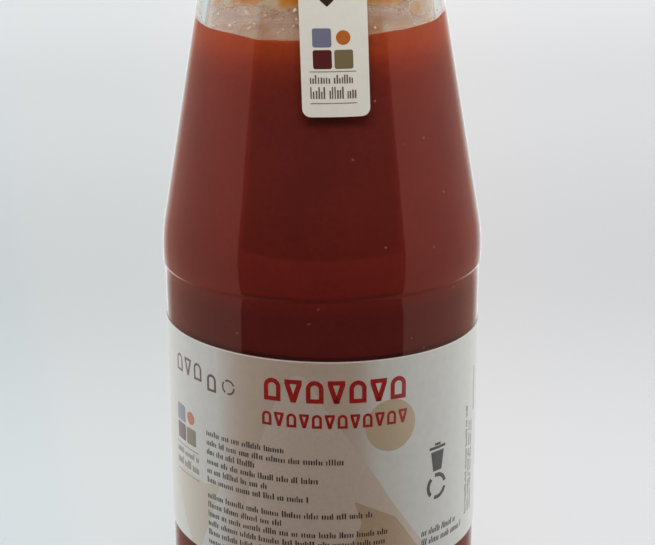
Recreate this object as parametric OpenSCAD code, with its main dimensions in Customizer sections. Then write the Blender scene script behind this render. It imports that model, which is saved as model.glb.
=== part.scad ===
// Passata bottle: a clear glass bottle with a long conical shoulder, filled with passata,
// closed with a metal twist-off cap and dressed with a wrap label and a paper seal strip.
// Millimetres. +Z is up and the origin is the centre of the base, on the table. The front is -Y.

/* [Glass body] */
// Height of the glass, from the table to the rim
bottle_h = 226.5; // [200:0.5:275]
// Diameter of the recessed panel that carries the label
panel_d = 77; // [62:0.5:95]
// How far the heel and shoulder beads stand proud of the panel
bead_proud = 0.5; // [0.2:0.1:1.2]
// Height of the heel bead, where the label panel begins
heel_h = 15; // [11:0.5:22]
// Height at which the label panel ends in the shoulder bead
panel_top_z = 118; // [92:0.5:142]
// Height over which each bead steps down to the panel
step_h = 1.2; // [0.6:0.1:2]
// Height of the upright part of the shoulder bead
bead_h = 2.4; // [1:0.2:8]
// Radius that turns the shoulder bead into the cone
shoulder_round = 45; // [25:1:60]
// Radius that turns the cone into the neck
neck_round = 30; // [15:1:50]
// Outside diameter of the neck
neck_d = 50.4; // [44:0.2:58]
// Height of the straight neck below the carrying ring
neck_h = 5; // [3:0.5:12]
// Outside radius of the heel
heel_round = 7; // [4:0.5:9]
// Wall thickness of the body and cone
wall = 2.1; // [1.6:0.1:3]
// Wall thickness of the neck and mouth
neck_wall = 2.6; // [2.2:0.1:3.2]
// Thickness of the base
base_t = 3.8; // [2.8:0.1:5]
// Depth of the hollow under the base
pushup_h = 4; // [2:0.5:7]
// Width of the ring that the bottle stands on
stand_w = 1.8; // [1:0.1:3]
// Inside radius of the heel
heel_round_in = 8; // [4:0.5:12]

/* [Mouth] */
// Space between the cap's foot and the carrying ring
ring_gap = 1.4; // [0.6:0.1:3]
// Height of the carrying ring
ring_h = 3.8; // [2.4:0.1:5]
// How far the carrying ring stands out from the neck
ring_proud = 1.8; // [1:0.1:2.2]
// Radius of the rim's edges
rim_round = 1; // [0.5:0.1:1.1]
// Number of thread pieces, and of lugs in the cap
lug_count = 4; // [3:1:6]
// How far a thread piece stands out from the mouth
thread_proud = 1.2; // [0.8:0.1:1.4]
// Height of a thread piece
thread_h = 1.8; // [1.4:0.1:2.2]
// Depth of the thread's underside below the rim
thread_drop = 6; // [5:0.1:6.4]
// Angle that each thread piece covers
thread_angle = 56; // [40:1:58]

/* [Passata] */
// Height of the passata's surface above the table
fill_z = 176.3; // [140:0.1:190]

/* [Cap] */
// Overall height of the cap
cap_h = 10.4; // [9:0.1:13]
// Thickness of the cap's metal
cap_t = 0.5; // [0.4:0.05:0.7]
// Radius of the cap's top edge
cap_round = 1.6; // [1:0.1:2]
// Space between the thread and the cap's skirt
cap_gap = 0.25; // [0.15:0.05:0.4]
// Radius of the rolled edge of the cap
curl_r = 0.9; // [0.7:0.05:1]
// How far the rolled edge stands out from the skirt
curl_proud = 0.5; // [0.3:0.1:0.6]
// Depth of the panel in the cap's top
panel_drop = 0.8; // [0.4:0.1:1.2]
// Width of the slope round that panel
panel_slope = 1; // [0.6:0.1:1.6]
// Space between that panel and the mouth's bore
panel_gap = 1; // [0.5:0.1:2]
// Diameter of the safety button
button_d = 26; // [20:1:30]
// Depth of the safety button, drawn down by the vacuum
button_drop = 0.4; // [0.2:0.1:0.6]
// Angle that each lug covers
lug_angle = 18; // [12:1:24]
// Space between a lug and the thread above it
lug_gap = 0.2; // [0.1:0.05:0.3]
// How far a lug reaches in under the thread
lug_hold = 0.7; // [0.4:0.1:0.8]

/* [Paper] */
// Thickness of the label and of the seal strip
paper_t = 0.15; // [0.1:0.01:0.3]
// Height of the label
label_h = 53.6; // [35:0.1:64]
// Bare glass between the panel's top and the label
label_drop = 13.7; // [3:0.1:24]
// Width of the bare strip of glass between the label's ends
label_gap = 13; // [8:0.5:30]
// Radius of the label's corners
label_corner = 2.5; // [1:0.1:4]
// How far the label is turned out of level
label_tilt = 1.2; // [-2:0.1:2]
// Width of the seal strip
strip_w = 15; // [8:0.5:22]
// Length of the strip's front leg, from the cap's top
strip_front = 67.7; // [50:0.1:90]
// Length of the strip's back leg, from the cap's top
strip_back = 60; // [50:0.1:90]
// Radius of the strip's corners
strip_corner = 1.8; // [0.8:0.1:3]
// How far the strip is turned out of plumb
strip_tilt = -1; // [-1.5:0.1:1.5]
// Depth below the cap at which the strip meets the glass
strip_meet = 27; // [24:1:34]

/* [Hidden] */
$fn = 180;
arc_steps = 10;
fine_steps = 5;

// Glass, outside
panel_r = panel_d / 2;
bead_r = panel_r + bead_proud;
neck_r = neck_d / 2;
mouth_h = cap_h - cap_t + ring_gap;
ring_z = bottle_h - mouth_h - ring_h;
neck_z = ring_z - neck_h;
stand_r = bead_r - heel_round;
stand_in_r = stand_r - stand_w;
shoulder_z = panel_top_z + step_h + bead_h;

// Glass, inside
body_in_r = panel_r - wall;
bore_r = neck_r - neck_wall;
floor_r = body_in_r - heel_round_in;

// Cap
skirt_r = neck_r + thread_proud + cap_gap + cap_t;
cap_top = bottle_h + cap_t;
cap_foot = cap_top - cap_h;
dish_r = bore_r - panel_gap;
thread_z = bottle_h - thread_drop;
lug_top_z = thread_z - lug_gap;
lug_h = lug_top_z - cap_foot - curl_r / 2;

// Paper
label_z = panel_top_z - label_drop - label_h / 2;
meet_z = cap_foot - strip_meet;
far = 3 * bead_r;

// Points of an arc about centre c, from angle a0 to angle a1, ends included
function arc(c, r, a0, a1, steps = arc_steps) =
    [for (i = [0:steps]) let (a = a0 + (a1 - a0) * i / steps) c + r * [cos(a), sin(a)]];

// Angle of the common normal of two round turns that bend opposite ways and share a straight flank
function flank_angle(c1, r1, c2, r2) =
    let (d = c2 - c1) atan2(d[1], d[0]) - acos((r1 + r2) / norm(d));

// Shoulder turn, straight cone and neck turn of a wall whose body and neck have these radii
function cone_path(body, neck, turn_out, turn_in) =
    let (
        c1 = [body - turn_out, shoulder_z],
        c2 = [neck + turn_in, neck_z],
        a = flank_angle(c1, turn_out, c2, turn_in)
    )
    concat(arc(c1, turn_out, 0, a), arc(c2, turn_in, 180 + a, 180));

// A shallow dome from the axis to radius r, h high at the axis
function dome(r, h, z) =
    let (big = (r * r + h * h) / (2 * h), half = asin(r / big))
    [for (i = [0:arc_steps]) let (a = half * i / arc_steps) [big * sin(a), z + h - big + big * cos(a)]];

outer_cone = cone_path(bead_r, neck_r, shoulder_round, neck_round);
inner_cone = cone_path(body_in_r, bore_r, shoulder_round - wall, neck_round + neck_wall);

// The straight flank of the outer cone runs between these two points
flank_low = outer_cone[arc_steps];
flank_high = outer_cone[arc_steps + 1];

// Radius of the outer cone at height z on its straight flank
function flank_r(z) =
    flank_low[0] + (flank_high[0] - flank_low[0]) * (z - flank_low[1]) / (flank_high[1] - flank_low[1]);

ring_round = ring_h / 2;
ring_edge = neck_r + ring_proud - ring_round * 0.6;

outer_path = concat(
    dome(stand_in_r, pushup_h, 0),
    arc([stand_r, heel_round], heel_round, -90, 0),
    [[bead_r, heel_h - step_h], [panel_r, heel_h], [panel_r, panel_top_z], [bead_r, panel_top_z + step_h]],
    outer_cone,
    [[neck_r, ring_z]],
    [for (p = arc([0, 0], 1, -90, 90)) [ring_edge + ring_round * 0.6 * p[0], ring_z + ring_round * (1 + p[1])]],
    [[neck_r, ring_z + ring_h]],
    arc([neck_r - rim_round, bottle_h - rim_round], rim_round, 0, 90, fine_steps)
);

inner_path = concat(
    dome(floor_r, pushup_h, base_t),
    arc([floor_r, base_t + heel_round_in], heel_round_in, -90, 0),
    inner_cone,
    arc([bore_r + rim_round, bottle_h - rim_round], rim_round, 180, 90, fine_steps)
);

function reversed(p) = [for (i = [len(p) - 1:-1:0]) p[i]];

// The same path, moved out by t along its normals
function moved_out(p, t) =
    [for (i = [0:len(p) - 1])
        let (d = p[min(i + 1, len(p) - 1)] - p[max(i - 1, 0)])
        p[i] + t * [-d[1], d[0]] / norm(d)];

// A block that stands on the table plane's X and Z and runs from y0 to y1
module along_y(y0, y1) {
    translate([0, y1, 0]) rotate([90, 0, 0]) linear_extrude(y1 - y0) children();
}

// What a rounded corner takes away from a square one at the origin, towards +X and +Y
module corner_nick(r) {
    difference() {
        square(r);
        translate([r, r]) circle(r);
    }
}

module thread_piece() {
    rotate([0, 0, -thread_angle / 2])
        rotate_extrude(angle = thread_angle)
            polygon([
                [neck_r - rim_round / 2, thread_z],
                [neck_r + thread_proud, thread_z],
                [neck_r + thread_proud, thread_z + thread_h / 2],
                [neck_r - rim_round / 2, thread_z + thread_h]
            ]);
}

module bottle_glass() {
    color([0.82, 0.88, 0.86, 0.35]) {
        rotate_extrude() polygon(concat(outer_path, reversed(inner_path)));
        for (i = [0:lug_count - 1]) rotate([0, 0, 360 * i / lug_count]) thread_piece();
    }
}

module passata() {
    color([0.42, 0.09, 0.05])
        intersection() {
            rotate_extrude() polygon(concat(inner_path, [[0, bottle_h]]));
            cylinder(r = bead_r, h = fill_z);
        }
}

// The drawn metal of the cap, from the middle of its top to the foot of its skirt
module cap_shell() {
    skin = concat(
        [[0, cap_top - panel_drop - button_drop], [button_d / 2, cap_top - panel_drop]],
        [[dish_r - panel_slope, cap_top - panel_drop], [dish_r, cap_top]],
        arc([skirt_r - cap_round, cap_top - cap_round], cap_round, 90, 0, fine_steps),
        [[skirt_r, cap_foot + curl_r]]
    );
    under = concat(
        [for (i = [0:3]) skin[i] - [0, cap_t]],
        arc([skirt_r - cap_round, cap_top - cap_round], cap_round - cap_t, 90, 0, fine_steps),
        [[skirt_r - cap_t, cap_foot + curl_r]]
    );
    rotate_extrude() polygon(concat(skin, reversed(under)));
}

module cap_lug() {
    inner = neck_r + thread_proud - lug_hold;
    rotate([0, 0, -lug_angle / 2])
        rotate_extrude(angle = lug_angle)
            translate([inner, lug_top_z - lug_h]) square([skirt_r - cap_t / 2 - inner, lug_h]);
}

module twist_cap() {
    color([0.80, 0.66, 0.36]) {
        cap_shell();
        rotate_extrude() translate([skirt_r + curl_proud - curl_r, cap_foot + curl_r]) circle(curl_r);
        for (i = [0:lug_count - 1]) rotate([0, 0, 360 * i / lug_count]) cap_lug();
    }
}

// The label's outline at the back: a gap between its ends, with rounded corners
module label_back() {
    difference() {
        square([far, label_h], center = true);
        square([label_gap, 2 * label_h], center = true);
        for (side = [0, 1], end = [0, 1])
            mirror([side, 0]) mirror([0, end])
                translate([label_gap / 2, -label_h / 2]) corner_nick(label_corner);
    }
}

module wrap_label() {
    color([0.86, 0.86, 0.82])
        intersection() {
            rotate_extrude()
                translate([panel_r, heel_h]) square([paper_t, panel_top_z - heel_h]);
            translate([0, 0, label_z]) rotate([0, label_tilt, 0]) {
                along_y(-far, 0) square([far, label_h], center = true);
                along_y(0, far) label_back();
            }
        }
}

// One leg of the strip, seen from the front: its end has rounded corners
module strip_leg(length) {
    difference() {
        translate([-strip_w / 2, -length]) square([strip_w, length + cap_h]);
        for (side = [0, 1])
            mirror([side, 0]) translate([-strip_w / 2, -length]) corner_nick(strip_corner);
    }
}

module seal_strip() {
    curl_edge = [skirt_r + curl_proud - curl_r, cap_foot + curl_r];
    lie = concat(
        [for (p = outer_cone) if (p[1] < meet_z) p],
        [[flank_r(meet_z), meet_z]],
        arc(curl_edge, curl_r, 0, 45, 3),
        [[skirt_r, cap_foot + 3 * curl_r]],
        arc([skirt_r - cap_round, cap_top - cap_round], cap_round, 0, 90, fine_steps),
        [[0, cap_top]]
    );
    color([0.88, 0.87, 0.82])
        intersection() {
            rotate_extrude() polygon(concat(lie, reversed(moved_out(lie, -paper_t))));
            translate([0, 0, cap_top]) rotate([0, strip_tilt, 0]) {
                along_y(-far, 0) strip_leg(strip_front);
                along_y(0, far) strip_leg(strip_back);
            }
        }
}

bottle_glass();
passata();
twist_cap();
wrap_label();
seal_strip();
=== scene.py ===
import random
from functools import partial
from math import acos, atan2, ceil, cos, degrees, dist, exp, hypot, pi, radians, sin, sqrt, tau

import bmesh
import bpy
from mathutils import Matrix, Vector, noise


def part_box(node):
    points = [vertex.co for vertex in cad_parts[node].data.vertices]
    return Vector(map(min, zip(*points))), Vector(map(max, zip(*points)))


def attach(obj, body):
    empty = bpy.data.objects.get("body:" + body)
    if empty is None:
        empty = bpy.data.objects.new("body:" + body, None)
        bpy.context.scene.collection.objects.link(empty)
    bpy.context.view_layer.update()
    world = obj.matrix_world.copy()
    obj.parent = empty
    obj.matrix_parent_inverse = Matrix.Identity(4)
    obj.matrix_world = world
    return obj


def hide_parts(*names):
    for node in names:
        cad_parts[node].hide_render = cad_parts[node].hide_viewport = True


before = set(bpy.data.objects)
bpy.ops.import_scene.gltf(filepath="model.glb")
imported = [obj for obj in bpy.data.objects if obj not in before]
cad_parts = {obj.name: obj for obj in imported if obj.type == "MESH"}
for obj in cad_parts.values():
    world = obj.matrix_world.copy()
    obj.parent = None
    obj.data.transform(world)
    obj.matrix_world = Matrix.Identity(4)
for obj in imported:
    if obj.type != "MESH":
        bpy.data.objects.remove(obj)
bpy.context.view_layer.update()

mm = 0.001


def ease(t):  # a soft start and a soft stop between 0 and 1
    t = min(max(t, 0), 1)
    return t * t * (3 - 2 * t)


def arcPoints(centre, radius, start, end, steps):  # angles in degrees, both ends included
    angles = [radians(start + (end - start) * i / steps) for i in range(steps + 1)]
    return [(centre[0] + radius * cos(a), centre[1] + radius * sin(a)) for a in angles]


def domePoints(radius, rise, base, steps):  # a shallow dome from the axis out to the radius
    return [(radius * i / steps, base + rise * (1 - (i / steps) ** 2)) for i in range(steps + 1)]


def easedStep(low, high, steps):  # a soft step from one (radius, height) to another
    return [
        (low[0] + (high[0] - low[0]) * ease(i / steps), low[1] + (high[1] - low[1]) * i / steps)
        for i in range(steps + 1)
    ]


def divided(points, longest):  # the same outline with no stretch over the longest step
    out = [points[0]]
    for a, b in zip(points, points[1:]):
        parts = max(1, ceil(dist(a, b) / longest))
        out += [
            (a[0] + (b[0] - a[0]) * i / parts, a[1] + (b[1] - a[1]) * i / parts)
            for i in range(1, parts + 1)
        ]
    return out


def radiusAt(path, height):  # radius of a rising path at a height
    for (r0, z0), (r1, z1) in zip(path, path[1:]):
        if z0 <= height <= z1 and z1 > z0:
            return r0 + (r1 - r0) * (height - z0) / (z1 - z0)
    return path[-1][0] if height > path[-1][1] else path[0][0]


def spun(points, segments):  # the outline turned once round the bottle's axis
    bm = bmesh.new()
    verts = [bm.verts.new((r * mm, 0, z * mm)) for r, z in points]
    edges = [bm.edges.new(pair) for pair in zip(verts, verts[1:])]
    bmesh.ops.spin(
        bm, geom=verts + edges, cent=(0, 0, 0), axis=(0, 0, 1), angle=tau, steps=segments,
        use_merge=True,
    )
    bmesh.ops.remove_doubles(bm, verts=bm.verts, dist=0.001 * mm)
    bmesh.ops.recalc_face_normals(bm, faces=bm.faces)
    return bm


def measured(vert):  # where a corner lies in millimetres, its radius and its angle round the axis
    x, y, z = vert.co / mm
    return x, y, z, hypot(x, y), atan2(y, x)


def around(r, angle, z):  # the place at a radius, an angle and a height
    return Vector((r * cos(angle), r * sin(angle), z))


def offLobe(angle, count):  # degrees from the nearest of so many equal lobes
    share = 360 / count
    return (degrees(angle) + share / 2) % share - share / 2


def offFront(turn, where):  # degrees between two directions, from -180 to 180
    return (turn - where + 180) % 360 - 180


def extruded(bm):  # extrudes every face and gives the corners of the new side
    geom = bmesh.ops.extrude_face_region(bm, geom=bm.faces[:])["geom"]
    return [v for v in geom if isinstance(v, bmesh.types.BMVert)]


def newObject(name, data):
    thing = bpy.data.objects.new(name, data)
    bpy.context.scene.collection.objects.link(thing)
    return thing


def newMesh(bm, name):
    mesh = bpy.data.meshes.new(name)
    bm.to_mesh(mesh)
    bm.free()
    return mesh


def finishPiece(bm, name, materials, smooth=True):
    mesh = newMesh(bm, name)
    for face in mesh.polygons:
        face.use_smooth = smooth
    for material in materials:
        mesh.materials.append(material)
    piece = newObject(name, mesh)
    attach(piece, "root")
    return piece


def roughAt(x, y, z, size, seed=0.0):  # smooth noise from -1 to 1, its bumps this many millimetres apart
    return noise.noise(Vector((x / size + seed, y / size - seed, z / size + 2 * seed)))


camera = {
    "distance": 381.5,  # from the bottle's axis
    "height": 230.1,
    "azimuth": -4.0,  # a little to the left of the front
    "tilt": 16.95,
    "roll": 0.23,
    "aside": 1.3,
    "lens": 88.6,
}


def placeCamera():
    turn = radians(camera["azimuth"])
    ahead = Vector((-sin(turn), cos(turn), 0))
    right = Vector((cos(turn), sin(turn), 0))
    spot = (right * camera["aside"] - ahead * camera["distance"]) * mm
    spot.z = camera["height"] * mm
    data = bpy.data.cameras.new("camera")
    data.lens = camera["lens"]
    data.sensor_width = 36
    data.clip_start = 0.01
    data.clip_end = 100
    view = newObject("camera", data)
    view.matrix_world = (
        Matrix.Translation(spot)
        @ Matrix.Rotation(turn, 4, "Z")
        @ Matrix.Rotation(radians(90 - camera["tilt"]), 4, "X")
        @ Matrix.Rotation(radians(-camera["roll"]), 4, "Z")
    )
    bpy.context.scene.camera = view
    bpy.context.scene.view_settings.view_transform = "Standard"


placeCamera()
print("camera placed")


multiplied = {"data_type": "RGBA", "blend_type": "MULTIPLY", 0: 1.0}  # one colour times another


def linear(hexColour):  # an sRGB hex colour as linear light
    parts = [int(hexColour[i:i + 2], 16) / 255 for i in (1, 3, 5)]
    return [c / 12.92 if c <= 0.04045 else ((c + 0.055) / 1.055) ** 2.4 for c in parts] + [1]


def grey(value):
    return [value, value, value, 1]


def addNode(tree, kind, settings=None, links=None):
    # settings name a socket, a property or a ramp's stops; a node that is linked gives its first output
    node = tree.nodes.new("ShaderNode" + kind)
    for name, value in (settings or {}).items():
        if name == "stops":
            stops = node.color_ramp.elements
            while len(stops) < len(value):
                stops.new(0.5)
            for stop, (place, colour) in zip(stops, value):
                stop.position = place
                stop.color = colour if len(colour) == 4 else linear(colour)
        elif name == "interpolation":
            node.color_ramp.interpolation = value
        elif isinstance(name, int) or name in node.inputs:
            node.inputs[name].default_value = value
        else:
            setattr(node, name, value)
    for name, source in (links or {}).items():
        if isinstance(source, bpy.types.Node):
            source = next(socket for socket in source.outputs if socket.enabled)
        tree.links.new(source, node.inputs[name])
    return node


def newMaterial(name):
    material = bpy.data.materials.new(name)
    material.use_nodes = True
    material.node_tree.nodes.clear()
    add = partial(addNode, material.node_tree)
    return material, add, add("TexCoord").outputs["Object"]


def closeMaterial(material, shader):
    addNode(material.node_tree, "OutputMaterial", links={"Surface": shader})
    return material


def perMetre(millimetres):  # a texture scale that gives features this many millimetres across
    return 1000 / millimetres


def sodaLimeGlass():
    # Soda-lime glass blown in a mould: clear, a shade green, its skin a little wavy and fire-polished bright
    material, add, place = newMaterial("sodaLimeGlassBlown")
    waves = add("TexNoise", {"Scale": perMetre(16), "Detail": 1.0}, {"Vector": place})
    skin = add("Bump", {"Strength": 0.12, "Distance": 0.0006}, {"Height": waves})
    look = {"Color": (0.965, 0.985, 0.975, 1), "Roughness": 0.0, "IOR": 1.51}
    glass = add("BsdfGlass", look, {"Normal": skin})
    # light reaches what is behind the glass straight through, as thin glass lets it
    clear = add("BsdfTransparent", {"Color": (0.93, 0.95, 0.94, 1)})
    path = add("LightPath").outputs
    rays = {0: path["Is Shadow Ray"], 1: path["Is Diffuse Ray"]}
    through = add("Math", {"operation": "MAXIMUM"}, rays)
    return closeMaterial(material, add("MixShader", links={0: through, 1: glass, 2: clear}))


def fineMottle(add, place, size, low, high):  # a grey factor that wanders between low and high
    spots = add("TexNoise", {"Scale": perMetre(size), "Detail": 4.0}, {"Vector": place})
    reach = {"From Min": 0.35, "From Max": 0.65, "To Min": low, "To Max": high}
    return add("MapRange", reach, {"Value": spots})


toneSpan = 180  # millimetres of height that the tones below run over
passataToneWithPaintedLight = (  # height in millimetres and the colour painted there: the sauce's dark red with painted light, paler from the top of the label panel up the shoulder, which faces the light above, and a painted glow in the top dozen millimetres under the surface
    (0, "#4b1a1e"), (114, "#4e1a1d"), (119.5, "#6c201b"), (130, "#6e231e"), (140, "#6f2722"),
    (158, "#6e2925"), (166, "#762a22"), (170, "#8d3322"), (173.5, "#a94222"), (178, "#ae4c2a"),
)


def sievedTomato():
    # Sieved tomato against glass: dense, its pulp a fine grain; its colour by height holds painted light,
    # paler on the shoulder and a painted glow near its surface, where light comes in from above
    material, add, place = newMaterial("sievedTomatoInGlass")
    height = add("SeparateXYZ", links={"Vector": place}).outputs["Z"]
    share = add("MapRange", {"From Max": toneSpan * mm}, {"Value": height})
    stops = [(z / toneSpan, colour) for z, colour in passataToneWithPaintedLight]
    body = add("ValToRGB", {"stops": stops}, {"Fac": share})
    grain = fineMottle(add, place, 1.2, 0.95, 1.05)
    clouds = fineMottle(add, place, 14, 0.95, 1.05)
    both = add("Math", {"operation": "MULTIPLY"}, {0: grain, 1: clouds})
    colour = add("VectorMath", {"operation": "SCALE"}, {0: body, "Scale": both})
    look = {"Roughness": 0.08, "IOR": 1.5, "Specular IOR Level": 0.5, "Specular Tint": linear("#ff4a3c")}
    return closeMaterial(material, add("BsdfPrincipled", look, {"Base Color": colour}))


def wetSurface():
    # The open surface: sieved tomato with a film of its own water, so it shines, under a thin foam
    material, add, place = newMaterial("sievedTomatoOpenSurface")
    streaks = add("Mapping", {"Scale": (0.5, 1.6, 1.0)}, {"Vector": place})
    flecks = {"Scale": perMetre(9), "Detail": 5.0, "Roughness": 0.6}
    foam = add("TexNoise", flecks, {"Vector": streaks})
    # pink-grey towards the front and golden towards the back, mixed by depth
    pinkGreyTones, goldenTones = [
        add("ValToRGB", {"stops": list(zip((0.3, 0.5, 0.7), tones))}, {"Fac": foam})
        for tones in (("#c0805f", "#dfae95", "#f3dccd"), ("#a4602c", "#c98a50", "#e3b587"))
    ]
    depth = add("SeparateXYZ", links={"Vector": place}).outputs["Y"]
    back = add("MapRange", {"From Min": -0.006, "From Max": 0.018}, {"Value": depth})
    colour = add("Mix", {"data_type": "RGBA"}, {0: back, 6: pinkGreyTones, 7: goldenTones})
    lumps = add("TexNoise", {"Scale": perMetre(2.4), "Detail": 3.0}, {"Vector": place})
    bump = add("Bump", {"Strength": 0.25, "Distance": 0.0003}, {"Height": lumps})
    links = {"Base Color": colour, "Normal": bump}
    return closeMaterial(material, add("BsdfPrincipled", {"Roughness": 0.17, "IOR": 1.4}, links))


def pulpOnGlass():
    # Tomato pulp drying on the wall: cream where it is thin, golden orange where it is thick and lit through
    material, add, place = newMaterial("tomatoPulpClinging")
    strands = {"Scale": perMetre(2.6), "Detail": 5.0, "Roughness": 0.65}
    threads = add("TexNoise", strands, {"Vector": place})
    cover = add("Attribute", {"attribute_name": "cover"}).outputs["Fac"]
    reach = {"From Min": 0.3, "From Max": 0.7, "To Min": -0.16, "To Max": 0.16}
    broken = add("MapRange", reach, {"Value": threads})
    body = add("Math", {"operation": "ADD"}, {0: cover, 1: broken})
    stops = [(0.0, "#fffaf0"), (0.1, "#ffe6bf"), (0.24, "#ffd896"), (0.44, "#ffc873"), (0.75, "#f3b05a")]
    colour = add("ValToRGB", {"stops": stops}, {"Fac": body})
    bump = add("Bump", {"Strength": 0.8, "Distance": 0.0005}, {"Height": threads})
    look = {"Roughness": 0.25, "IOR": 1.38, "Coat Weight": 0.8, "Coat Roughness": 0.06}
    front = add("BsdfPrincipled", look, {"Base Color": colour, "Normal": bump})
    through = add("BsdfTranslucent", links={"Color": colour})
    return closeMaterial(material, add("MixShader", {0: 0.74}, {1: front, 2: through}))


def thinJuice():
    # The film that the juice leaves on the wall: wet, milky low down and golden where it has dried higher up
    material, add, place = newMaterial("tomatoJuiceFilm")
    veil = add("TexNoise", {"Scale": perMetre(5), "Detail": 4.0}, {"Vector": place})
    milky, goldenTones = [
        add("ValToRGB", {"stops": list(zip((0.35, 0.65), tones))}, {"Fac": veil})
        for tones in (("#dcae94", "#f6e2d5"), ("#b97332", "#e2a766"))
    ]
    height = add("SeparateXYZ", links={"Vector": place}).outputs["Z"]
    reach = {"From Min": (fillHeight + 3.5) * mm, "From Max": (fillHeight + 10) * mm}
    up = add("MapRange", reach, {"Value": height})
    colour = add("Mix", {"data_type": "RGBA"}, {0: up, 6: milky, 7: goldenTones})
    cover = add("MapRange", {"To Min": 0.31, "To Max": 0.55}, {"Value": up})
    links = {"Base Color": colour, "Alpha": cover}
    return closeMaterial(material, add("BsdfPrincipled", {"Roughness": 0.2, "IOR": 1.35}, links))


def speckled(name, size, detail, stops, look):  # a material of two tones, mottled at one size
    material, add, place = newMaterial(name)
    spots = add("TexNoise", {"Scale": perMetre(size), "Detail": detail}, {"Vector": place})
    colour = add("ValToRGB", {"stops": stops}, {"Fac": spots})
    return closeMaterial(material, add("BsdfPrincipled", look, {"Base Color": colour}))


def juiceDropsPaintedGlint():
    # Beads of juice: small, glossy and very bright where the light catches them; their pale cream colour is
    # a painted glint
    look = {"Roughness": 0.08, "IOR": 1.34, "Coat Weight": 0.6, "Coat Roughness": 0.04}
    return speckled("tomatoJuiceBeadsPaintedGlint", 7, 1.0, [(0.35, "#f3c9a2"), (0.6, "#fff1df")], look)


def seedSkin():
    # Bits of tomato seed and skin under the glass: dull and a little paler than the sauce
    look = {"Roughness": 0.5, "Specular IOR Level": 0.0}
    return speckled("tomatoSeedBits", 11, 1.0, [(0.4, "#8a3c2e"), (0.62, "#a66a58")], look)


def printedInk(name, colour, worn, roughness=0.35, coat=0.25):
    # Offset ink on coated paper: flat and even, with the paper's grain just showing through
    look = {"Roughness": roughness, "IOR": 1.5, "Coat Weight": coat, "Coat Roughness": 0.22}
    return speckled(name, 0.8, 3.0, [(0.35, worn), (0.6, colour)], look)


def goldLacquer():
    # Tinplate, drawn and rolled, under gold lacquer: a warm satin shine, faint rolling lines, a speckle
    material, add, place = newMaterial("goldLacqueredTinplate")
    stretched = add("Mapping", {"Scale": (1.0, 14.0, 1.0)}, {"Vector": place})
    lines = add("TexNoise", {"Scale": perMetre(6), "Detail": 3.0}, {"Vector": stretched})
    colour = add("ValToRGB", {"stops": [(0.3, "#c29a4e"), (0.7, "#d3ad62")]}, {"Fac": lines})
    reach = {"From Min": 0.3, "From Max": 0.7, "To Min": 0.26, "To Max": 0.36}
    rough = add("MapRange", reach, {"Value": lines})
    speckle = add("TexNoise", {"Scale": perMetre(0.9), "Detail": 2.0}, {"Vector": place})
    bump = add("Bump", {"Strength": 0.08, "Distance": 0.0001}, {"Height": speckle})
    look = {"Metallic": 1.0, "Coat Weight": 0.5, "Coat Roughness": 0.12}
    links = {"Base Color": colour, "Roughness": rough, "Normal": bump}
    return closeMaterial(material, add("BsdfPrincipled", look, links))


def coatedPaper(name, light, dark, roughness, coat, paintedShadeTint=None):
    # Machine-coated label paper: off-white, a soft sheen, with the faint cockle that wet glue leaves
    material, add, place = newMaterial(name)
    pulp = {"Scale": perMetre(2.2), "Detail": 6.0, "Roughness": 0.6}
    fibres = add("TexNoise", pulp, {"Vector": place})
    colour = add("ValToRGB", {"stops": [(0.3, dark), (0.7, light)]}, {"Fac": fibres})
    if paintedShadeTint:  # a faint warm painted shade over the middle of the front, where the paper gets little light
        ahead = {"operation": "DOT_PRODUCT", 1: (-0.24, -0.97, 0)}
        towards = add("VectorMath", ahead, {0: place})
        fore = add("MapRange", {"From Min": 0.0385, "From Max": 0.033}, {"Value": towards})
        fade = {"stops": [(0.0, paintedShadeTint), (0.3, paintedShadeTint), (1.0, "#ffffff")], "interpolation": "EASE"}
        tint = add("ValToRGB", fade, {"Fac": fore})
        colour = add("Mix", multiplied, {6: colour, 7: tint})
    cockle = add("TexNoise", {"Scale": perMetre(13), "Detail": 2.0}, {"Vector": place})
    bump = add("Bump", {"Strength": 0.12, "Distance": 0.0005}, {"Height": cockle})
    look = {"Roughness": roughness, "IOR": 1.5, "Coat Weight": coat, "Coat Roughness": 0.22, "Coat IOR": 1.5}
    links = {"Base Color": colour, "Normal": bump}
    return closeMaterial(material, add("BsdfPrincipled", look, links))


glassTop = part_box("bottle_glass")[1][2] / mm
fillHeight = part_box("passata")[1][2] / mm
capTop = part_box("twist_cap")[1][2] / mm
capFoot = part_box("twist_cap")[0][2] / mm
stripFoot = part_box("seal_strip")[0][2] / mm
labelBox = [[c / mm for c in corner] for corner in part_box("wrap_label")]

bottle = {  # millimetres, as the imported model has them
    "panelRadius": 38.5,
    "beadProud": 0.5,
    "heelTop": 15.0,
    "panelTop": 118.0,
    "stepHeight": 1.2,
    "beadHeight": 2.4,
    "shoulderTurn": 45.0,
    "neckTurn": 30.0,
    "neckRadius": 25.2,
    "ringFoot": 211.4,
    "neckLength": 5.0,
    "ringHeight": 3.8,
    "ringProud": 1.8,
    "rimRound": 1.0,
    "wall": 2.1,
    "neckWall": 2.6,
    "base": 3.8,
    "pushUp": 4.0,
    "standWidth": 1.8,
    "heelTurn": 7.0,
    "heelTurnInside": 8.0,
    "threads": 4,
    "threadProud": 1.15,
    "threadDrop": 5.1,  # middle of the thread below the rim
    "threadAngle": 56.0,
    "knurls": 72,
    "segments": 216,
}
beadRadius = bottle["panelRadius"] + bottle["beadProud"]
boreRadius = bottle["neckRadius"] - bottle["neckWall"]
insideRadius = bottle["panelRadius"] - bottle["wall"]
shoulderFoot = bottle["panelTop"] + bottle["stepHeight"] + bottle["beadHeight"]
neckFoot = bottle["ringFoot"] - bottle["neckLength"]


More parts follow.
